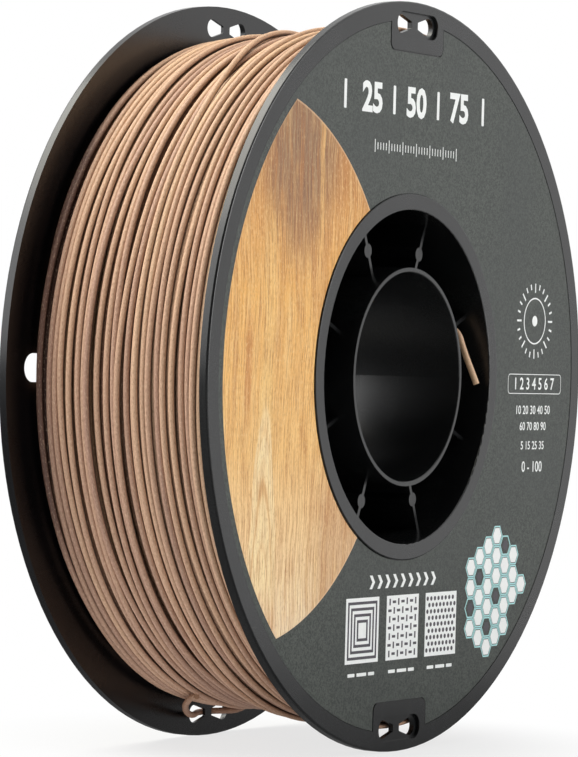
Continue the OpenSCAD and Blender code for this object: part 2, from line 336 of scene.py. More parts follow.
def wood_print():
    """A printed veneer: upright fibres, broader bands, one pale flame, a few streaks and dark pores.

    The flame's growth lines are the level lines of height + k (distance from its middle) squared, which
    are nested arches that open downwards. The rest of the grain is noise drawn out along the height."""
    bench = new_material("wood_print")
    across, _, along = bench.split(bench.place())
    sway = bench.noise(bench.place(scale=(0.4, 0.0, 1.0)), 0.030)
    lean = along.rise(-5.0, -70.0) * across.rise(-62.0, -36.0)
    bent = across + (sway - 0.5) * 7.0 + lean * 3.4

    def grain(stretch, scale, detail, rough):
        """Noise across the bent grain that changes only stretch times as fast along it."""
        return bench.noise(bench.join(bent, 0.0, along * stretch), scale, detail, rough)

    def line(middle, drift, outer, inner):
        """1 within inner millimetres of a swaying upright line and 0 beyond outer."""
        return abs(across - middle + (sway - 0.5) * drift).rise(outer, inner)

    fibre = grain(0.020, 1.30, 3.0, 0.62)
    hair = grain(0.032, 2.9, 2.0, 0.65)
    fleck = grain(0.30, 2.5, 2.0, 0.6)
    band = grain(0.10, 0.20, 2.0, 0.5)
    patch = grain(0.45, 0.10, 3.0, 0.55)
    stops = [(height, shade(*levels)) for height, levels in VENEER]
    colour = bench.node("ValToRGB", {"stops": stops}, {"Fac": along * (1 / VENEER_HEIGHT) + 0.5})

    # the brown heart at the top, the pinkish lines at the lower right, and broad bands
    heart = (((across - HEART_X) * 0.052) ** 2.0 + ((along - HEART_Z) * 0.030) ** 2.0).rise(1.5, 0.1)
    pink = across.rise(-50.0, -42.0) * along.rise(-20.0, -34.0)
    colour = bench.tinted(colour,
                          (heart * patch.rise(0.22, 0.56) * 0.85, (134, 101, 78)),
                          (pink * 0.50, (180, 132, 102)),
                          (band.rise(0.50, 0.68) * 0.50, (194, 136, 82)),
                          (band.rise(0.46, 0.30) * 0.35, (236, 198, 138)))

    # the flame with its growth lines and halo, the beam above it, the streak and the stripe
    flame = along + (across - FLAME_X + (sway - 0.5) * 5.0) ** 2.0 * 0.85
    inside = flame.rise(-4.0, -10.0) * along.rise(-64.0, -50.0)
    growth = bench.noise(bench.join(flame), 0.085)
    halo = flame.rise(9.0, -2.0) * (1 - inside) * along.rise(-30.0, -6.0)
    beam = line(FLAME_X, 5.0, 3.6, 2.0) * along.rise(-16.0, -6.0) * along.rise(52.0, 24.0)
    streak = line(STREAK_X, 4.0, 2.6, 0.6) * along.rise(20.0, 6.0) * along.rise(-16.0, -2.0)
    stripe = line(STRIPE_X, 3.0, 1.5, 0.5) * along.rise(12.0, 24.0)
    colour = bench.tinted(colour,
                          (inside * (growth.rise(0.62, 0.40) * 0.45 + 0.50), (250, 226, 176)),
                          (inside * growth.rise(0.52, 0.68) * 0.60, (208, 150, 86)),
                          (halo * 0.35, (238, 200, 130)),
                          (beam * 0.45, (246, 206, 132)),
                          (streak * 0.55, (192, 116, 56)),
                          (stripe * 0.65, (236, 184, 112)))

    # fibres, hairlines and pores, of which the pale ones are weaker on the heart
    depth = 0.50 + along.rise(10.0, -50.0) * 0.12 - inside * 0.30
    paleness = 1 - heart * 0.55
    colour = bench.tinted(colour,
                          (fibre.rise(0.50, 0.66) * depth, (188, 118, 48)),
                          (fibre.rise(0.49, 0.34) * 0.45 * paleness, (246, 208, 146)),
                          (hair.rise(0.50, 0.62) * 0.62, (172, 106, 46)),
                          (heart * hair.rise(0.50, 0.58) * 0.60, (110, 84, 66)),
                          (hair.rise(0.46, 0.34) * 0.35 * paleness, (250, 216, 156)),
                          (fleck.rise(0.54, 0.66) * 0.30, (156, 92, 44)),
                          (fleck.rise(0.46, 0.34) * 0.34 * paleness, (250, 220, 166)))

    # a thin pale line where the print ends
    radius = (across * across + along * along) ** 0.5
    cut = ((across - WOOD_CENTRE[0]) ** 2.0 + (along - WOOD_CENTRE[1]) ** 2.0) ** 0.5
    border = cut.rise(WOOD_CUT_R - 0.6, WOOD_CUT_R - 0.3)
    rim = radius.rise(WOOD_OUTER_R - 0.5, WOOD_OUTER_R) * 0.5
    colour = bench.tinted(colour, (border.math("MAXIMUM", border, rim) * 0.45, (232, 198, 160)))
    return bench.principled(base_color=colour, roughness=0.45 + hair * 0.1, ior=1.45)


# the strand's colours along its tone; the darkest stop, at 0, is reached only by the painted deep shade
# beside the rear flange
STRAND_TONES = ((0.0, (104, 74, 64)), (0.2, (166, 129, 110)), (0.48, (183, 145, 121)),
                (0.72, (198, 160, 131)), (1.0, (219, 182, 147)))


def wood_filament(name, darker):
    """Wood-filled filament: matt, with fibre flecks along the strand and a tone that drifts along it.

    It reads the strand's own map (metres along it, share of the way round it), its tone attribute, which on
    the winding also holds painted light and shade, and its outward attribute, which paints shade on the
    sides that lie low between the strands. The darker argument gives darker copies for strands painted as
    lying in shade."""
    bench = new_material(name)
    tone = bench.node("Attribute", {"attribute_name": "tone"}, out=2)
    outward = bench.node("Attribute", {"attribute_name": "outward"}, out=2)
    fleck = bench.noise(bench.place(scale=(420.0, STRAND_ROUND, 1.0), uv=True), 2.6, 2.0, 0.6)
    fuzz = bench.noise(bench.place(scale=(1000.0, STRAND_ROUND, 1.0), uv=True), 3.0, 2.0, 0.6)
    stops = [(share, shade(*(level - darker for level in levels))) for share, levels in STRAND_TONES]
    colour = bench.tinted(bench.node("ValToRGB", {"stops": stops}, {"Fac": tone}),
                          (fleck.rise(0.52, 0.68) * 0.38, (116, 82, 60)),
                          (fleck.rise(0.46, 0.32) * 0.34, (228, 200, 168)),
                          # painted shade: the strand's low sides, between the strands, darkened to a dark
                          # red-brown
                          (outward.rise(0.30, -0.45) * 0.92, (50, 24, 12)))
    height = fleck * 0.5 + fuzz * 0.5
    return bench.principled(base_color=colour, roughness=0.50 + fuzz * 0.16, ior=1.5,
                            normal=bench.bump(height, 0.6, 0.06))


# ---- camera, floor and light ----

CAMERA_PLACE = (-0.9068, -0.5454, 0.0042)
CAMERA_AZIMUTH = -58.70    # in degrees, as the two below
CAMERA_ELEVATION = 0.30
CAMERA_ROLL = 1.54
FRAME_HEIGHT_PX = 757
FOCAL_PX = 3901            # focal length in pixels of that frame
SENSOR = 36.0

FLOOR_SIZE = 6.0
FLOOR_PAINT = (0.62, 0.62, 0.62, 1.0)
FLOOR_WHITE = 0.75           # share of white that the eye sees on it close to the spool
FLOOR_NEAR = 0.035           # distances from the spool between which that share grows to all of it
FLOOR_FAR = 0.105
BRIGHT_SIDE = (-0.35, 0.94)  # direction in which the floor throws more light back
BRIGHT_EDGE = (-0.04, 0.07)  # distances that way between which it grows brighter
BOUNCE = 0.8                 # share of the bright floor that shines by itself
BOUNCE_LEVEL = 1.45          # and its level there
DIM_EDGE = (-0.32, -0.14)    # distances the same way between which its reflections grow dim
FLOOR_GLOSS = 0.20           # and their level there
AMBIENT = 0.105              # level of the light from all round

# the dark side of the studio, behind the lens, which only gloss shows
LENS_SIDE = (-0.854, -0.520, 0.0)
LENS_EDGE = (-0.10, 0.25)    # how far that way, from -1 to 1, it starts and is full
LENS_DARK = 0.95

# name, place in metres, width and height in metres, level, colour
LAMPS = (
    ("back_left_lamp", (-1.10, 0.98, 0.62), 0.8, 1.2, 3.6, (1.0, 1.0, 1.0)),
    ("label_lamp", (0.5, -1.5, 0.5), 1.0, 1.0, 5.6, (1.0, 1.0, 1.0)),
    ("top_lamp", (-0.34, 0.50, 1.40), 1.4, 1.4, 5.8, (1.0, 0.985, 0.90)),
)


def add_camera():
    """A long lens at bore height, turned to the left of the label and rolled a little."""
    azimuth, elevation, roll = (math.radians(a) for a in (CAMERA_AZIMUTH, CAMERA_ELEVATION, CAMERA_ROLL))
    back = Vector((math.sin(azimuth) * math.cos(elevation), -math.cos(azimuth) * math.cos(elevation),
                   math.sin(elevation)))
    level = Vector((math.cos(azimuth), math.sin(azimuth), 0.0))
    upright = back.cross(level)
    right = math.cos(roll) * level + math.sin(roll) * upright
    up = math.cos(roll) * upright - math.sin(roll) * level
    lens = bpy.data.cameras.new("camera")
    lens.sensor_width = SENSOR
    lens.lens = FOCAL_PX / FRAME_HEIGHT_PX * SENSOR
    lens.clip_start = 0.01
    camera = bpy.data.objects.new("camera", lens)
    bpy.context.scene.collection.objects.link(camera)
    camera.matrix_world = Matrix.Translation(CAMERA_PLACE) @ Matrix((right, up, back)).transposed().to_4x4()
    bpy.context.scene.camera = camera


def add_softbox(name, place, width, height, level, colour):
    """A rectangular lamp that faces the spool: metres, and the radiance that its face shows."""
    lamp = bpy.data.lights.new(name, "AREA")
    lamp.shape = "RECTANGLE"
    lamp.size = width
    lamp.size_y = height
    lamp.energy = level * math.pi * width * height
    lamp.color = colour
    holder = bpy.data.objects.new(name, lamp)
    bpy.context.scene.collection.objects.link(holder)
    facing = (-Vector(place)).to_track_quat("-Z", "Y").to_matrix().to_4x4()
    holder.matrix_world = Matrix.Translation(place) @ facing


def rays(bench):
    """Whether a ray comes from the camera or through glass, and whether it is a reflection."""
    path = bench.node("LightPath").socket.node.outputs
    seen = Wire(bench, path["Is Camera Ray"])
    through = Wire(bench, path["Is Transmission Ray"])
    return seen.math("MAXIMUM", seen, through), Wire(bench, path["Is Glossy Ray"])


def floor_paint():
    """White sweep: to the eye it turns to plain white away from the spool's shadow.

    Behind the spool it throws more light on to it. In gloss it is dim, but for the part well in front
    of the label."""
    bench = new_material("floor_paint")
    seen, glossy = rays(bench)
    east, north, _ = bench.split(bench.node("TexCoord", out=3))
    away = ((east * east + north * north) ** 0.5).rise(FLOOR_NEAR, FLOOR_FAR)
    shown = seen * (FLOOR_WHITE + away * (1 - FLOOR_WHITE)) + glossy
    toward = east * BRIGHT_SIDE[0] + north * BRIGHT_SIDE[1]
    bounce = (1 - seen - glossy) * toward.rise(*BRIGHT_EDGE) * BOUNCE
    matt = bench.node("BsdfDiffuse", inputs={"Color": FLOOR_PAINT})
    dim = glossy * toward.rise(*DIM_EDGE) * (1 - FLOOR_GLOSS)
    white = bench.node("Emission", inputs={"Strength": 1 - dim})
    card = bench.node("Emission", inputs={"Strength": BOUNCE_LEVEL})
    lit = bench.node("MixShader", inputs={0: bounce, 1: matt, 2: card})
    surface = bench.node("MixShader", inputs={0: shown, 1: lit, 2: white})
    bench.node("OutputMaterial", inputs={"Surface": surface})
    return bench.holder


def add_world():
    """Even light from all round. The eye sees white, and gloss sees a dark side behind the lens."""
    world = bpy.data.worlds.new("studio")
    bpy.context.scene.world = world
    bench = Bench(world)
    seen, glossy = rays(bench)
    toward = bench.node("VectorMath", {"operation": "DOT_PRODUCT"},
                        {0: bench.node("TexCoord"), 1: LENS_SIDE}, out=1)
    sheen = 1 - toward.rise(*LENS_EDGE) * LENS_DARK
    level = AMBIENT + seen * (1 - AMBIENT) + glossy * (sheen - AMBIENT)
    sky = bench.node("Background", inputs={"Color": (1.0, 1.0, 1.0, 1.0), "Strength": level})
    bench.node("OutputWorld", inputs={"Surface": sky})


def add_surroundings():
    """A white sweep under the spool, soft lamps round it and an even sky."""
    half = FLOOR_SIZE / 2
    mesh = bpy.data.meshes.new("floor")
    corners = [(x * half, y * half, FLOOR_Z * MM) for x, y in ((-1, -1), (1, -1), (1, 1), (-1, 1))]
    mesh.from_pydata(corners, [], [(0, 1, 2, 3)])
    mesh.materials.append(floor_paint())
    floor = bpy.data.objects.new("floor", mesh)
    bpy.context.scene.collection.objects.link(floor)
    for lamp in LAMPS:
        add_softbox(*lamp)
    add_world()


# ---- the wound filament ----

TURN_STEPS = 144      # points of the strand in one turn
BED_PITCH = 1.93      # width of one rib of the bed
BED_R = 87.0          # radius of the middles of its ribs
BED_DROP = 2.2        # how much lower they get beside the rear flange
BED_DROP_WIDTH = 7.5  # over this width
BED_STEP = 2.5        # degrees from one cut through the bed to the next
RIB_POINTS = 6
RIBS = np.arange(-EDGE_Y, EDGE_Y + 0.01, BED_PITCH)

UNDER_TURNS = 27.0    # turns of the under layer, of the top layer and of the last turns
TOP_TURNS = 25.6
LAST_TURNS = 10.5
CROSSING_TURNS = 0.5  # and of the stretch that crosses to the rear flange
EDGE_SHIFT = 0.45     # turns that the strand needs to climb a layer at a flange
UNDER_SHORT = 2.9     # how far from the rear flange the under layer stops

# where each of them starts, in turns before the end
LAST_START = CROSSING_TURNS + LAST_TURNS
TOP_START = LAST_START + EDGE_SHIFT + TOP_TURNS
UNDER_START = TOP_START + EDGE_SHIFT + UNDER_TURNS

END_ANGLE = -30.0  # where the winding ends, in degrees from +X towards +Z
END_R = LOAD_R - STRAND_R
END_TURNS = 0.12   # the share of a turn in which it settles to that radius

UNDER_LOOSE = 0.10     # how far the under layer's turns stray sideways, in millimetres
TOP_LOOSE = 0.26       # and all those above it
CALM_WIDTH = 3.0       # this close to a flange they stray less and less
LOOSEST_ANGLE = 165.0  # they stray most on this side of the load,
LOOSE_SWING = 0.4      # by this share more than on average
SETTLING = 3           # rounds of resting and smoothing
STIFF_REACH = 3        # points on each side of one that the highest of them lifts
STIFF_WIDTH = 2.2      # points over which a strand is smoothed after that

# (turns before the end, Y) where the strand crosses over the load
CROSSING = (
    (CROSSING_TURNS, -5.0), (0.46, -5.2), (0.425, -3.6), (0.40, -1.2), (0.375, 1.6), (0.33, 6.4),
    (0.25, 14.0), (0.17, 20.5), (0.08, 26.0), (0.03, EDGE_Y), (0.0, EDGE_Y),
)


def bed_radius(y):
    """Radius of the middles of the bed's turns: even, and lower by a parabola beside the rear flange."""
    return BED_R - BED_DROP * clipped((y - EDGE_Y + BED_DROP_WIDTH) / BED_DROP_WIDTH) ** 2


def winding_places():
    """Turns before the end and place across the drum of every point of the last layers, wound as one strand.

    The strand goes from the front to the rear as an under layer that stops short of the rear flange,
    back to the front as the top layer, and a third of the way rearwards again as the last turns. Then it
    crosses over the load to the rear flange. Each point strays by smooth noise times its looseness,
    which changes with the layer and with the angle, and fades beside the flanges."""
    knots = [(UNDER_START, -EDGE_Y), (TOP_START + EDGE_SHIFT, EDGE_Y - UNDER_SHORT), (TOP_START, EDGE_Y),
             (LAST_START + EDGE_SHIFT, -EDGE_Y), (LAST_START, -EDGE_Y), *CROSSING]
    looseness = [(UNDER_START, UNDER_LOOSE), (TOP_START + EDGE_SHIFT, UNDER_LOOSE),
                 (TOP_START - 1, TOP_LOOSE), (CROSSING_TURNS, TOP_LOOSE), (0.4, 0.05), (0.0, 0.0)]
    turn = np.arange(int(round(UNDER_START * TURN_STEPS)) + 1)[::-1] / TURN_STEPS
    before, y = np.array(knots).T
    places = np.interp(-turn, -before, y)
    before, amount = np.array(looseness).T
    loose = np.interp(-turn, -before, amount)
    loose *= 1 + LOOSE_SWING * np.cos(np.radians(END_ANGLE - LOOSEST_ANGLE + 360.0 * turn))
    calm = clipped((EDGE_Y - np.abs(places)) / CALM_WIDTH)
    strayed = places + loose * calm * wander(len(turn), 0.085 * TURN_STEPS, 11)
    return turn, np.clip(blurred(strayed, 0.012 * TURN_STEPS), -EDGE_Y, EDGE_Y)


def rest_radius(places):
    """Radius at which each point rests on what was wound before it.

    Two round strands that touch have their centres one diameter apart, so a point rests as high as the
    highest sum of a lower strand's radius and the root of (diameter squared - sideways distance squared).
    Each strand is then smoothed along its length, over the high points, as a stiff strand would be."""
    rows = -(-len(places) // TURN_STEPS)
    lead = rows * TURN_STEPS - len(places)
    y = np.concatenate([np.full(lead, places[0]), places]).reshape(rows, TURN_STEPS)
    on_bed = [bed_radius(rib) + np.sqrt(np.maximum(0.0, STRAND ** 2 - (y - rib) ** 2)) for rib in RIBS]
    floor = np.max(on_bed, axis=0)
    radius = floor.copy()
    ends = STIFF_REACH + 1
    for _ in range(SETTLING):
        for row in range(1, rows):
            near = np.sqrt(np.maximum(0.0, STRAND ** 2 - (y[:row] - y[row]) ** 2))
            rest = np.where(near > 0, radius[:row] + near, 0.0).max(axis=0)
            radius[row] = np.maximum(floor[row], rest)
        line = radius.reshape(-1)
        high = np.max([np.roll(line, shift) for shift in range(-STIFF_REACH, ends)], axis=0)
        high[:ends] = line[:ends]
        high[-ends:] = line[-ends:]
        radius = blurred(high, STIFF_WIDTH).reshape(rows, TURN_STEPS)
    return radius.reshape(-1)[lead:]


def winding_tone_light_and_shade(turn, y, angle):
    """Tone of each point of the winding, from 0 for dark to 1 for pale, with painted light and shade in it.

    It drifts at random along the strand and is even on the crossing. It is paler towards the top of the load,
    which is painted top light. On the left it falls towards the rear flange, a painted shadow of that
    flange, and falls once more on the strands right beside it, as painted deep shade."""
    count = len(turn)
    tone = 0.5 + 0.22 * wander(count, 0.25 * TURN_STEPS, 5) + 0.08 * wander(count, 0.04 * TURN_STEPS, 6)
    # painted light: the tone rises towards the top of the load, as if lit from above
    tone += 0.22 * np.sin(angle)
    crossing = np.interp(turn, [CROSSING_TURNS, CROSSING_TURNS + 0.2], [1.0, 0.0])
    tone = tone * (1 - crossing) + 0.75 * crossing
    # painted shadow: on the load's left side the tone falls towards the rear flange
    tone -= 0.5 * clipped((y - EDGE_Y + 10.0) / 8.0) * clipped(-np.cos(angle)) ** 2
    tone = 0.2 + 0.8 * clipped(tone)
    # painted deep shade on the strands right beside the rear flange, on the left
    beside = clipped((y - EDGE_Y + 6.0) / 3.0) * clipped(-np.cos(angle + 0.2)) ** 6
    return clipped(tone - 0.9 * beside)


def strand_mesh(name, path, sides, tone, material, outward, left_gap_shade=0.0, free=False):
    """A round strand along a path: rings square to it, both ends closed by flat caps.

    Ring i is path[i] + r (cos a n + sin a b), where n is the outward normal square to the path and b is
    the third direction. The map holds metres along the strand and the share of the way round. The
    outward attribute, which the material reads to paint shade on the low sides between strands, is cos a
    less an extra painted shade for the load's left side, which lets that shade reach further up, and 1 all
    over on a free strand."""
    ahead = unit(np.gradient(path, axis=0))
    normal = unit(outward - (outward * ahead).sum(1, keepdims=True) * ahead)
    side = np.cross(ahead, normal)
    around = 2 * np.pi * (np.arange(sides) / sides + 0.5)
    rings = path[:, None] + STRAND_R * (np.cos(around)[None, :, None] * normal[:, None]
                                        + np.sin(around)[None, :, None] * side[:, None])
    faces = grid_faces(len(path), sides, True)
    last = (len(path) - 1) * sides
    caps = [list(range(sides))[::-1], list(range(last, last + sides))]
    piece = add_piece(name, rings, faces.tolist() + caps, material, flat_faces=2)

    length = np.concatenate([[0.0], np.cumsum(np.linalg.norm(np.diff(path, axis=0), axis=1))]) * MM
    row = np.repeat(np.arange(len(path) - 1), sides)
    column = np.tile(np.arange(sides), len(path) - 1)
    along = length[np.stack([row, row, row + 1, row + 1], -1)]
    share = np.stack([column, column + 1, column + 1, column], -1) / sides
    cap_map = np.repeat([[0.0, 0.5], [length[-1], 0.5]], sides, axis=0)
    strand_map = np.concatenate([np.stack([along, share], -1).reshape(-1, 2), cap_map])
    piece.data.uv_layers.new(name="strand").data.foreach_set("uv", strand_map.ravel())

    lean = np.cos(around)[None, :] - np.broadcast_to(left_gap_shade, len(path))[:, None]
    set_attribute(piece, "tone", np.repeat(tone, sides))
    set_attribute(piece, "outward", np.ones_like(lean) if free else lean)
    return piece


def add_winding(material, shaded_under_material):
    """The last layers as two lengths of one strand. Returns the upper one's end and its direction there."""
    turn, y = winding_places()
    radius = rest_radius(y)
    settled = clipped(1 - turn / END_TURNS) ** 1.5
    radius = radius * (1 - settled) + END_R * settled
    angle = np.radians(END_ANGLE + 360.0 * turn)
    out = np.stack([np.cos(angle), np.zeros_like(angle), np.sin(angle)], -1)
    path = out * radius[:, None]
    path[:, 1] = y
    tone = winding_tone_light_and_shade(turn, y, angle)
    split = int(np.argmin(np.abs(turn - (TOP_START + EDGE_SHIFT / 2))))
    run = np.array([math.sin(angle[-1]), 0.0, -math.cos(angle[-1])])
    end = path[-1] + run * STRAND
    top_path = np.concatenate([path[split:], [end]])
    top_tone = np.append(tone[split:], tone[-1])
    top_out = np.concatenate([out[split:], out[-1:]])
    # painted shade: on the load's left side the dark low sides between strands reach further up
    left_gap_shade = 0.22 * clipped(-top_out[:, 0]) ** 4
    top = strand_mesh("filament_top_turns", top_path, 12, top_tone, material, top_out, left_gap_shade)
    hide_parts("filament_outer_layer")
    under = slice(0, split + 1, 2)
    strand_mesh("filament_under_turns", path[under], 8, tone[under], shaded_under_material, out[under])
    return end, run


def add_bed(material):
    """The load under the last layers: a ring whose outer face is ribbed like packed turns.

    Its outline is one arc for each rib, from the front to the rear, closed by the inner face. The grid
    turns that outline about the Y axis."""
    bow = np.radians(np.linspace(25, 155, RIB_POINTS))
    arcs = [np.stack([bed_radius(rib) + STRAND_R * np.sin(bow), rib - STRAND_R * np.cos(bow)], -1)
            for rib in RIBS]
    inner = np.array([[LOAD_LOW_R, LOAD_HALF], [LOAD_LOW_R, -LOAD_HALF]])
    sides = np.array([[bed_radius(-EDGE_Y), -LOAD_HALF], [bed_radius(EDGE_Y), LOAD_HALF]])
    profile = np.concatenate([sides[:1], *arcs, sides[1:], inner])
    count = len(profile)
    angle = np.radians(np.arange(0, 360, BED_STEP))
    rows = len(angle)
    points = np.stack([profile[:, 0] * np.cos(angle)[:, None], profile[:, 1] + 0 * angle[:, None],
                       profile[:, 0] * np.sin(angle)[:, None]], -1)
    faces = grid_faces(rows, count, True)
    wrap = grid_faces(2, count, True)
    wrap = np.where(wrap < count, wrap + (rows - 1) * count, wrap - count)
    piece = add_piece("filament_bed", points, np.concatenate([faces, wrap]).tolist(), material)
    for name in ("tone", "outward"):
        set_attribute(piece, name, np.full(rows * count, 0.5))
    strand_map = np.stack([np.repeat(angle, count) * BED_R * MM,
                           np.tile(np.arange(count) / RIB_POINTS, rows)], -1)
    corners = np.zeros(len(piece.data.loops), int)
    piece.data.loops.foreach_get("vertex_index", corners)
    piece.data.uv_layers.new(name="strand").data.foreach_set("uv", strand_map[corners].ravel())
    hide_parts("filament_core")


# ---- the filament's two free ends, in millimetres along the CAD model's routes ----

LOOSE_ROUTE = [
    (72.0, 27.9, -54.3), (64.9, 27.9, -62.7), (56.9, 27.9, -70.3), (48.2, 27.9, -77.2),
    (38.9, 27.9, -83.4), (30.3, 27.9, -87.9), (22.7, 27.9, -91.2), (17.0, 27.8, -93.0),
    (13.4, 27.6, -93.6), (11.0, 27.6, -93.8), (8.8, 28.05, -93.8), (6.7, 29.0, -93.8),
    (4.6, 30.0, -93.8), (2.4, 30.75, -93.8), (0.0, 30.95, -93.8), (-2.4, 30.75, -93.8),
    (-4.6, 30.0, -93.8), (-6.7, 29.0, -93.8), (-8.8, 28.05, -93.8), (-11.3, 27.2, -93.7),
    (-13.9, 26.5, -93.2), (-16.5, 25.4, -92.5), (-19.4, 24.0, -91.6), (-22.4, 22.2, -90.7),
    (-25.3, 20.3, -89.6), (-27.8, 18.2, -88.6), (-29.9, 16.1, -87.5), (-31.5, 14.1, -86.7),
    (-32.6, 12.2, -86.3),
]
START_ROUTE = [
    (43.6, -10.0, 6.1), (41.2, -10.2, 5.9), (38.8, -11.2, 6.4), (37.0, -13.0, 7.8),
    (36.2, -15.6, 9.8), (36.4, -18.6, 11.7), (37.2, -21.4, 13.0), (37.9, -23.6, 13.3),
    (38.3, -25.2, 12.0), (38.6, -26.2, 9.3), (39.1, -27.4, 5.7), (40.1, -28.6, 2.0),
    (40.9, -29.8, -1.6),
]
START_ANGLE = 8.0  # where the first end comes through the core tube, in degrees from +X
START_Y = -10.0
END_SPACING = 0.6  # from ring to ring of both ends
END_SIDES = 16


def eased(points, spacing):
    """A smooth line through points, each stretch a cubic whose slope at a point is that of its neighbours."""
    points = np.array(points, float)
    slope = np.gradient(points, axis=0)
    pieces = []
    for a, b, slope_a, slope_b in zip(points[:-1], points[1:], slope[:-1], slope[1:]):
        steps = max(2, int(np.linalg.norm(b - a) / spacing))
        t = np.linspace(0, 1, steps, endpoint=False)[:, None]
        pieces.append((2 * t ** 3 - 3 * t ** 2 + 1) * a + (t ** 3 - 2 * t ** 2 + t) * slope_a
                      + (3 * t ** 2 - 2 * t ** 3) * b + (t ** 3 - t ** 2) * slope_b)
    return np.concatenate([*pieces, points[-1:]])


def steady_normals(path, first):
    """A normal at each point of a path that turns as little as it can from one point to the next."""
    normals = [np.array(first, float)]
    for direction in unit(np.gradient(path, axis=0)):
        normal = normals[-1] - (normals[-1] @ direction) * direction
        normals.append(normal / np.linalg.norm(normal))
    return np.array(normals[1:])


def add_loose_end(material, end, run):
    """The last stretch: from the winding's end along the rear flange and through the rear clip."""
    path = eased([end, end + run * STRAND, *LOOSE_ROUTE], END_SPACING)
    # painted shade: a low tone darkens the loose end, on top of its darker finish
    tone = 0.36 + 0.08 * wander(len(path), 14, 3)
    piece = strand_mesh("filament_loose_strand", path, END_SIDES, tone, material,
                        steady_normals(path, (0, 1, 0)), free=True)
    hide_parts("filament_loose_end")


def add_start_end(material):
    """The first stretch: out of the core tube's hole and curled in the hub pocket."""
    angle = math.radians(START_ANGLE)
    out = np.array([math.cos(angle), 0.0, math.sin(angle)])
    mouth = out * (LOAD_LOW_R - 0.1) + np.array([0, START_Y, 0])
    path = eased([mouth, mouth - out * STRAND, *START_ROUTE], END_SPACING)
    tone = 0.92 + 0.08 * wander(len(path), 10, 4)
    piece = strand_mesh("filament_start_strand", path, END_SIDES, tone, material,
                        steady_normals(path, (0, 0, 1)), free=True)
    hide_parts("filament_start_end")


# ---- the label's print: flat shapes given as (across, up) from the bore's middle, in millimetres ----

INK_THICK = 0.03
CAP_HEIGHT = 0.70  # height of a numeral as a share of the type's size


def on_label(flat, lift):
    """Points of the label's plane (across, up) as points in space, lift in front of the label's face."""
    flat = np.asarray(flat, float)
    return np.stack([flat[..., 0], np.full(flat.shape[:-1], LABEL_FACE - lift), flat[..., 1]], -1)


def plates(outlines, lift=INK_THICK, base=0.0):
    """Flat plates from closed outlines given counter-clockwise as seen from the front: (points, faces)."""
    points, faces = [], []
    start = 0
    for outline in outlines:
        count = len(outline)
        points += [on_label(outline, lift), on_label(outline, base)]
        front = list(range(start, start + count))
        faces.append(front)
        faces.append([i + count for i in front][::-1])
        faces += [[start + i, start + i + count, start + (i + 1) % count + count, start + (i + 1) % count]
                  for i in range(count)]
        start += 2 * count
    return np.concatenate(points), faces


def bands(pairs, lift=INK_THICK, base=0.0):
    """Flat closed bands between an outer and an inner outline with as many points: (points, faces)."""
    points, faces = [], []
    start = 0
    for outer, inner in pairs:
        count = len(outer)
        points += [on_label(outer, lift), on_label(inner, lift), on_label(inner, base), on_label(outer, base)]
        for i in range(count):
            j = (i + 1) % count
            for level in range(4):
                a = start + level * count
                b = start + (level + 1) % 4 * count
                faces.append([a + i, a + j, b + j, b + i])
        start += 4 * count
    return np.concatenate(points), faces


def joined(*sets):
    """Several (points, faces) sets as one."""
    points, faces, start = [], [], 0
    for some, their in sets:
        points.append(some)
        faces += [[i + start for i in face] for face in their]
        start += len(some)
    return np.concatenate(points), faces


def box_outline(x, z, width, height, corner=0.0, turn=0.0):
    """A rectangle about (x, z), with round corners if corner is set, turned by turn degrees."""
    if corner <= 0:
        flat = np.array([(-1, -1), (1, -1), (1, 1), (-1, 1)]) * (width / 2, height / 2)
    else:
        arc = np.radians(np.linspace(0, 90, 5))
        flat = np.concatenate([
            np.stack([right * (width / 2 - corner) + corner * np.cos(arc + quarter * math.pi / 2),
                      up * (height / 2 - corner) + corner * np.sin(arc + quarter * math.pi / 2)], -1)
            for quarter, (right, up) in enumerate(((1, 1), (-1, 1), (-1, -1), (1, -1)))])
    return turned(flat, turn) + (x, z)


def round_outline(x, z, radius, sides=48):
    """A regular polygon about (x, z); with many sides, a circle."""
    angle = 2 * np.pi * np.arange(sides) / sides
    return np.stack([x + radius * np.cos(angle), z + radius * np.sin(angle)], -1)


def numerals(text, x, z, height, weight=0.0):
    """Plain numerals centred on (x, z) as (points, faces). weight makes the strokes bolder."""
    curve = bpy.data.curves.new("numerals", "FONT")
    curve.body = text
    curve.size = height / CAP_HEIGHT
    curve.align_x = "CENTER"
    curve.offset = weight
    curve.extrude = INK_THICK / 2
    curve.resolution_u = 3
    shape = bpy.data.objects.new("numerals", curve)
    bpy.context.scene.collection.objects.link(shape)
    mesh = bpy.data.meshes.new_from_object(shape.evaluated_get(bpy.context.evaluated_depsgraph_get()))
    flat = np.array([corner.co for corner in mesh.vertices])
    faces = [list(face.vertices) for face in mesh.polygons]
    bpy.data.objects.remove(shape)
    bpy.data.curves.remove(curve)
    bpy.data.meshes.remove(mesh)
    middle = (flat[:, :2].min(0) + flat[:, :2].max(0)) / 2
    points = np.stack([flat[:, 0] - middle[0] + x, LABEL_FACE - INK_THICK / 2 - flat[:, 2],
                       flat[:, 1] - middle[1] + z], -1)
    return points, faces


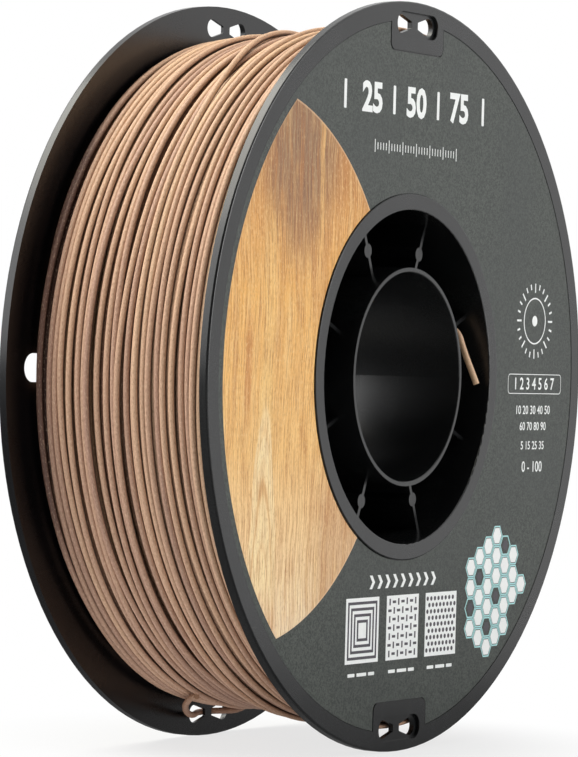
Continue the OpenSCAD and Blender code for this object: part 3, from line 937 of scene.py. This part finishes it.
def add_wood_panel():
    """The wood print: from the hub bead outwards, cut by a circle whose middle lies left of the hub.

    The grid's angle runs over the part of the ring inside that circle. At each angle the panel reaches
    from its inner radius to the lesser of its outer radius and the circle's far crossing."""
    centre = np.array(WOOD_CENTRE)
    reach = np.linalg.norm(centre)
    middle = math.degrees(math.atan2(centre[1], centre[0])) % 360

    def half_angle(radius):
        """Angle from the panel's middle line to where a circle about the bore meets the cut."""
        cosine = (radius ** 2 + reach ** 2 - WOOD_CUT_R ** 2) / (2 * radius * reach)
        return math.degrees(math.acos(cosine))

    tip, root = half_angle(WOOD_OUTER_R), half_angle(WOOD_INNER_R)
    swing = np.concatenate([np.linspace(-root, -tip, 24), np.linspace(-tip, tip, 120)[1:],
                            np.linspace(tip, root, 24)[1:]])
    aim = reach * np.cos(np.radians(swing))
    far = aim + np.sqrt(np.maximum(0.0, aim ** 2 - reach ** 2 + WOOD_CUT_R ** 2))
    outer = np.minimum(WOOD_OUTER_R, far)
    share = np.linspace(0, 1, 6)
    radius = WOOD_INNER_R + (outer - WOOD_INNER_R)[:, None] * share[None]
    angle = np.radians(middle + swing)[:, None]
    flat = np.stack([radius * np.cos(angle), radius * np.sin(angle)], -1)
    rows, columns = radius.shape
    front = grid_faces(rows, columns, False)
    count = rows * columns
    edge = np.concatenate([np.arange(columns), np.arange(1, rows) * columns + columns - 1,
                           (rows - 1) * columns + np.arange(columns - 2, -1, -1),
                           np.arange(rows - 2, 0, -1) * columns])
    after = np.roll(edge, -1)
    wall = np.stack([edge, edge + count, after + count, after], -1)
    points = np.concatenate([on_label(flat, INK_THICK).reshape(-1, 3), on_label(flat, 0.0).reshape(-1, 3)])
    faces = np.concatenate([front[:, ::-1], front + count, wall[:, ::-1]])
    piece = add_piece("label_wood_print", points, faces.tolist(), wood_print(), smooth=False)
    recalculate(piece)


SQUARES_X = (-21.0, 0.3, 21.3)  # middles of the three pattern squares
SQUARES_Z = -66.8
SQUARE_SIDE = 17.2
HEX_CENTRE = (52.0, -61.0)      # middle of the group of hexagons
HEX_REACH = 17.6                # how far from it they go
HEX_STEP = 5.6                  # from one hexagon to the one above it


def number_scale():
    """Big numerals between upright bars, over a rule with fine ticks, every fifth of them longer."""
    z, height = 73.2, 7.6
    numbers = [numerals(text, x, z, height, 0.35) for text, x in (("25", -23.0), ("50", 0.5), ("75", 24.0))]
    ticks = plates([box_outline(x, 60.6, 0.34, 3.4 if i % 5 == 0 else 1.9)
                    for i, x in enumerate(np.linspace(-21, 23, 31))])
    bars = plates([box_outline(x, z, 1.3, height, 0.3) for x in (-37, -11.4, 12.3, 37.5)])
    return [*numbers, ticks, bars]


def dial_face():
    """A plain dial: a ring, a dot in its middle and 24 strokes round it, every third of them longer."""
    middle = (71.5, 16.5)
    ring = bands([(round_outline(*middle, 6.6), round_outline(*middle, 6.2))])
    dot = plates([round_outline(*middle, 1.5)])
    strokes = []
    for i in range(24):
        length = 2.6 if i % 3 == 0 else 1.6
        place = turned([(10.6 - length / 2, 0)], 15 * i)[0] + middle
        strokes.append(plates([box_outline(*place, length, 0.55, 0.0, 15 * i)]))
    return [ring, dot, *strokes]


def number_rows():
    """A framed row of numerals and four plain rows below it."""
    box = (72.5, -1.3)
    border = bands([(box_outline(*box, 32, 5.6, 1.2), box_outline(*box, 31.6, 5.2, 1.0))])
    framed = numerals("1 2 3 4 5 6 7", 72.5, -1.2, 3.3, 0.06)
    rows = [numerals(text, 72.0, z, height, 0.03)
            for text, z, height in (("10 20 30 40 50", -8.6, 2.4), ("60 70 80 90", -13.2, 2.3),
                                    ("5 15 25 35", -18.6, 2.3), ("0 - 100", -24.6, 3.0))]
    return [border, framed, *rows]


def square_fields():
    """A row of chevrons, three plain squares under it and three short dashes under each square."""
    chevron = np.array([(-1.2, -1.8), (0.2, -1.8), (1.6, 0), (0.2, 1.8), (-1.2, 1.8), (0.2, 0)])
    chevrons = plates([chevron + (x, -54.3) for x in np.linspace(-16.5, 16.5, 9)])
    fields = plates([box_outline(x, SQUARES_Z, SQUARE_SIDE, SQUARE_SIDE) for x in SQUARES_X])
    dashes = plates([box_outline(x + step, -78.4, width, 0.9, 0.2) for x in SQUARES_X
                     for step, width in ((-5.2, 3.6), (0.2, 5.0), (5.3, 3.2))])
    return [chevrons, fields, dashes]


def add_white_print(white):
    """All the plain white print but the hexagons, as one piece."""
    points, faces = joined(*number_scale(), *dial_face(), *number_rows(), *square_fields())
    recalculate(add_piece("label_white_print", points, faces, white, smooth=False))


def add_square_motifs(grey):
    """Plain patterns on the three squares: nested frames, a basket weave and rows of dots."""
    left, middle, right = SQUARES_X
    nested = [(box_outline(left, SQUARES_Z, side, side), box_outline(left, SQUARES_Z, side - 1.5, side - 1.5))
              for side in (15.2, 12.0, 8.8, 5.6)]
    weave = []
    for i in range(7):
        for j in range(7):
            size = (1.75, 0.7) if (i + j) % 2 else (0.7, 1.75)
            weave.append(box_outline(middle - 6.9 + 2.3 * i, -73.7 + 2.3 * j, *size))
    dots = [round_outline(right - 7.0 + 2.0 * i + (j % 2) * 1.0 - 0.5, -73.8 + 1.75 * j, 0.62, 10)
            for j in range(9) for i in range(8)]
    lift, base = 2 * INK_THICK, INK_THICK
    points, faces = joined(bands(nested, lift, base), plates(weave, lift, base), plates(dots, lift, base))
    add_piece("label_square_motifs", points, faces, grey, smooth=False)


def add_hexagons(white, cyan, grey):
    """A group of hexagons in thin outlines: white ones, and every fifth small and dark."""
    outlines, light, dark = [], [], []
    for i in range(-4, 5):
        for j in range(-4, 5):
            x = 52.5 + HEX_STEP * 0.875 * i
            z = -60.5 + HEX_STEP * (j + 0.5 * (i % 2))
            off = math.hypot(x - HEX_CENTRE[0], z - HEX_CENTRE[1])
            if off > HEX_REACH or math.hypot(x, z) > LABEL_R - 4.2 or not 35 <= x <= 70:
                continue
            outlines.append((round_outline(x, z, 3.15, 6), round_outline(x, z, 2.7, 6)))
            if (i + 2 * j) % 5 == 0:
                dark.append(round_outline(x, z, 1.5, 6))
            else:
                light.append(round_outline(x, z, 2.45, 6))
    for name, (points, faces), material in (("label_hexagon_outlines", bands(outlines), cyan),
                                            ("label_hexagons", plates(light), white),
                                            ("label_dark_hexagons", plates(dark), grey)):
        add_piece(name, points, faces, material, smooth=False)


# ---- put together ----

bpy.context.scene.view_settings.view_transform = "Standard"
add_camera()
add_surroundings()

front_plastic = moulded_plastic("front_plastic", 0.26, 0.5, shade(17, 18, 19), shade(26, 27, 28))
# the rear moulding is the same black plastic as the front; its darker, slightly bluer base is painted shade
# on the rear flange's inner face
rear_plastic_shaded = moulded_plastic("rear_plastic_shaded", 0.28, 1.0, shade(7, 7, 9), shade(12, 12, 15))
film = label_film()
for node, material in (("front_half", front_plastic), ("rear_half", rear_plastic_shaded), ("front_label", film)):
    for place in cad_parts[node].material_slots:
        place.material = material

strand_finish = wood_filament("wood_filament", 0)
# a darker copy of the filament for the under layer and the bed: painted shade where they show between the top
# strands
shaded_under_finish = wood_filament("wood_filament_under_shaded", 40)
# a darker copy of the filament for the loose end: painted shade on it
shaded_loose_finish = wood_filament("wood_filament_loose_shaded", 22)
strand_end, strand_run = add_winding(strand_finish, shaded_under_finish)
add_bed(shaded_under_finish)
add_loose_end(shaded_loose_finish, strand_end, strand_run)
add_start_end(strand_finish)

add_wood_panel()
white_ink = ink("white_ink", shade(244, 246, 246), shade(226, 230, 230))
cyan_ink = ink("cyan_ink", shade(176, 224, 226), shade(150, 206, 210))
grey_ink = ink("grey_ink", shade(70, 66, 74), shade(84, 80, 88))
add_white_print(white_ink)
add_square_motifs(grey_ink)
add_hexagons(white_ink, cyan_ink, grey_ink)
